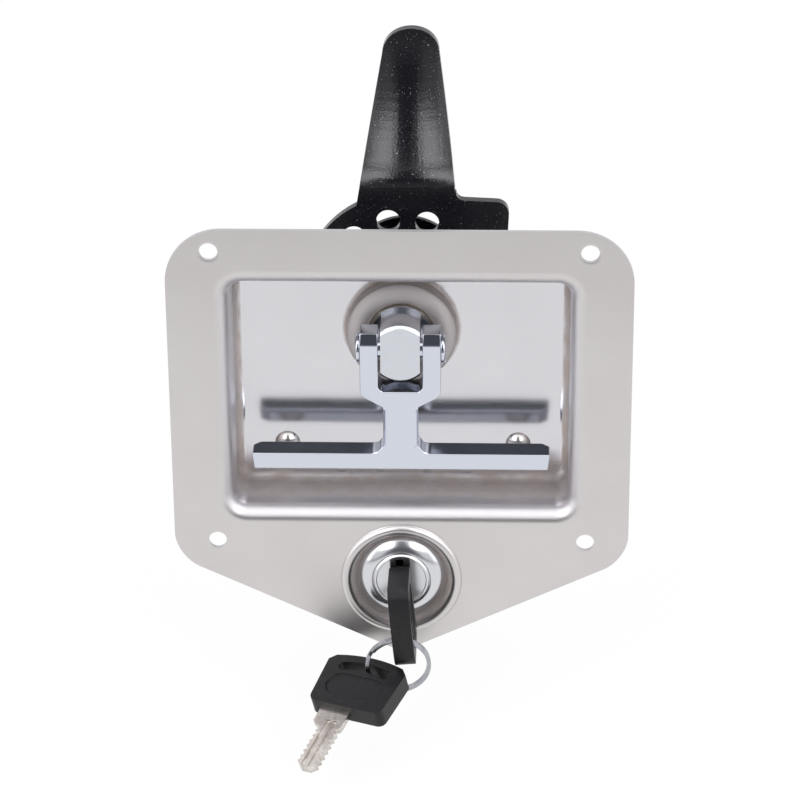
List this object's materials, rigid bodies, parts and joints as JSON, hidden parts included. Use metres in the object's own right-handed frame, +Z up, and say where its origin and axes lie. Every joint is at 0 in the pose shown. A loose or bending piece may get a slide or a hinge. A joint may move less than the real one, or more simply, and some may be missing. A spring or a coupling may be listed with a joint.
{
  "type": "folding t-handle door latch",
  "caption": "Flush pan latch for a trailer door: folding T-handle turns a cam with a bent finger, and a keyed plug lifts a bar into a notched ring; keys on a split ring.",
  "frame": {"origin": "middle of the four mounting holes on the back face of the flange", "axes": "+Y into the door along the mounting holes, +Z up along the folded handle's line, X across the flange"},
  "size_m": [0.14, 0.129, 0.1979],
  "materials": {
    "stainless": "satin stamped stainless sheet",
    "chrome": "bright chrome plating",
    "black_coat": "glossy black powder coat with fine speckle",
    "bronze": "sintered bronze",
    "plain_steel": "zinc-plated steel",
    "nickel": "worn nickel plate",
    "black_plastic": "satin black moulded plastic"
  },
  "bodies": {
    "plate": {"face_plate": "stainless", "spindle_bushing": "bronze", "guide_strap": "stainless", "rivet_left": "stainless", "rivet_right": "stainless", "lock_body": "chrome", "lock_nut": "plain_steel"},
    "turning_stack": {"spindle": "chrome", "thrust_sleeve": "plain_steel", "notched_ring": "plain_steel", "spacer_sleeve": "plain_steel", "drive_plate": "plain_steel", "drive_pin": "plain_steel", "cam_plate": "black_coat", "disc_springs": "plain_steel", "end_washer": "black_coat", "spindle_nut": "plain_steel"},
    "handle": {"t_handle": "chrome", "hinge_pin": "chrome"},
    "plug": {"lock_plug": "chrome", "lock_crank": "plain_steel", "crank_screw": "plain_steel", "key_blade": "nickel", "key_head": "black_plastic"},
    "bar": {"lock_bar": "plain_steel"},
    "ring": {"key_ring": "nickel"},
    "spare": {"spare_blade": "nickel", "spare_head": "black_plastic"}
  },
  "joints": [
    {"name": "spindle_turn", "type": "hinge", "parent": "plate", "child": "turning_stack", "pos_m": [0, 0, 0.014], "axis": [0, 1, 0], "range_deg": [0, 90]},
    {"name": "handle_fold", "type": "hinge", "parent": "turning_stack", "child": "handle", "pos_m": [0, 0.006, 0.014], "axis": [-1, 0, 0], "range_deg": [0, 90]},
    {"name": "key_turn", "type": "hinge", "parent": "plate", "child": "plug", "pos_m": [0, 0, -0.0616], "axis": [0, 1, 0], "range_deg": [0, 90]},
    {"name": "bar_lift", "type": "slide", "parent": "plate", "child": "bar", "axis": [0, 0, 1], "range_m": [0, 0.00848]},
    {"name": "ring_swing", "type": "hinge", "parent": "plug", "child": "ring", "pos_m": [0.00102, -0.01942, -0.07329], "axis": [-0.9811, -0.088, 0.1725], "range_deg": [-6, 6]},
    {"name": "spare_swing", "type": "hinge", "parent": "ring", "child": "spare", "pos_m": [-0.00937, -0.01861, -0.08665], "axis": [0.4145, 0.1316, -0.9005], "range_deg": [-8, 8]}
  ],
  "couplings": [
    {"joint": "handle_fold", "follows": "spindle_turn", "ratio": 1},
    {"joint": "key_turn", "follows": "bar_lift", "rad_per_m": 185.12}
  ]
}
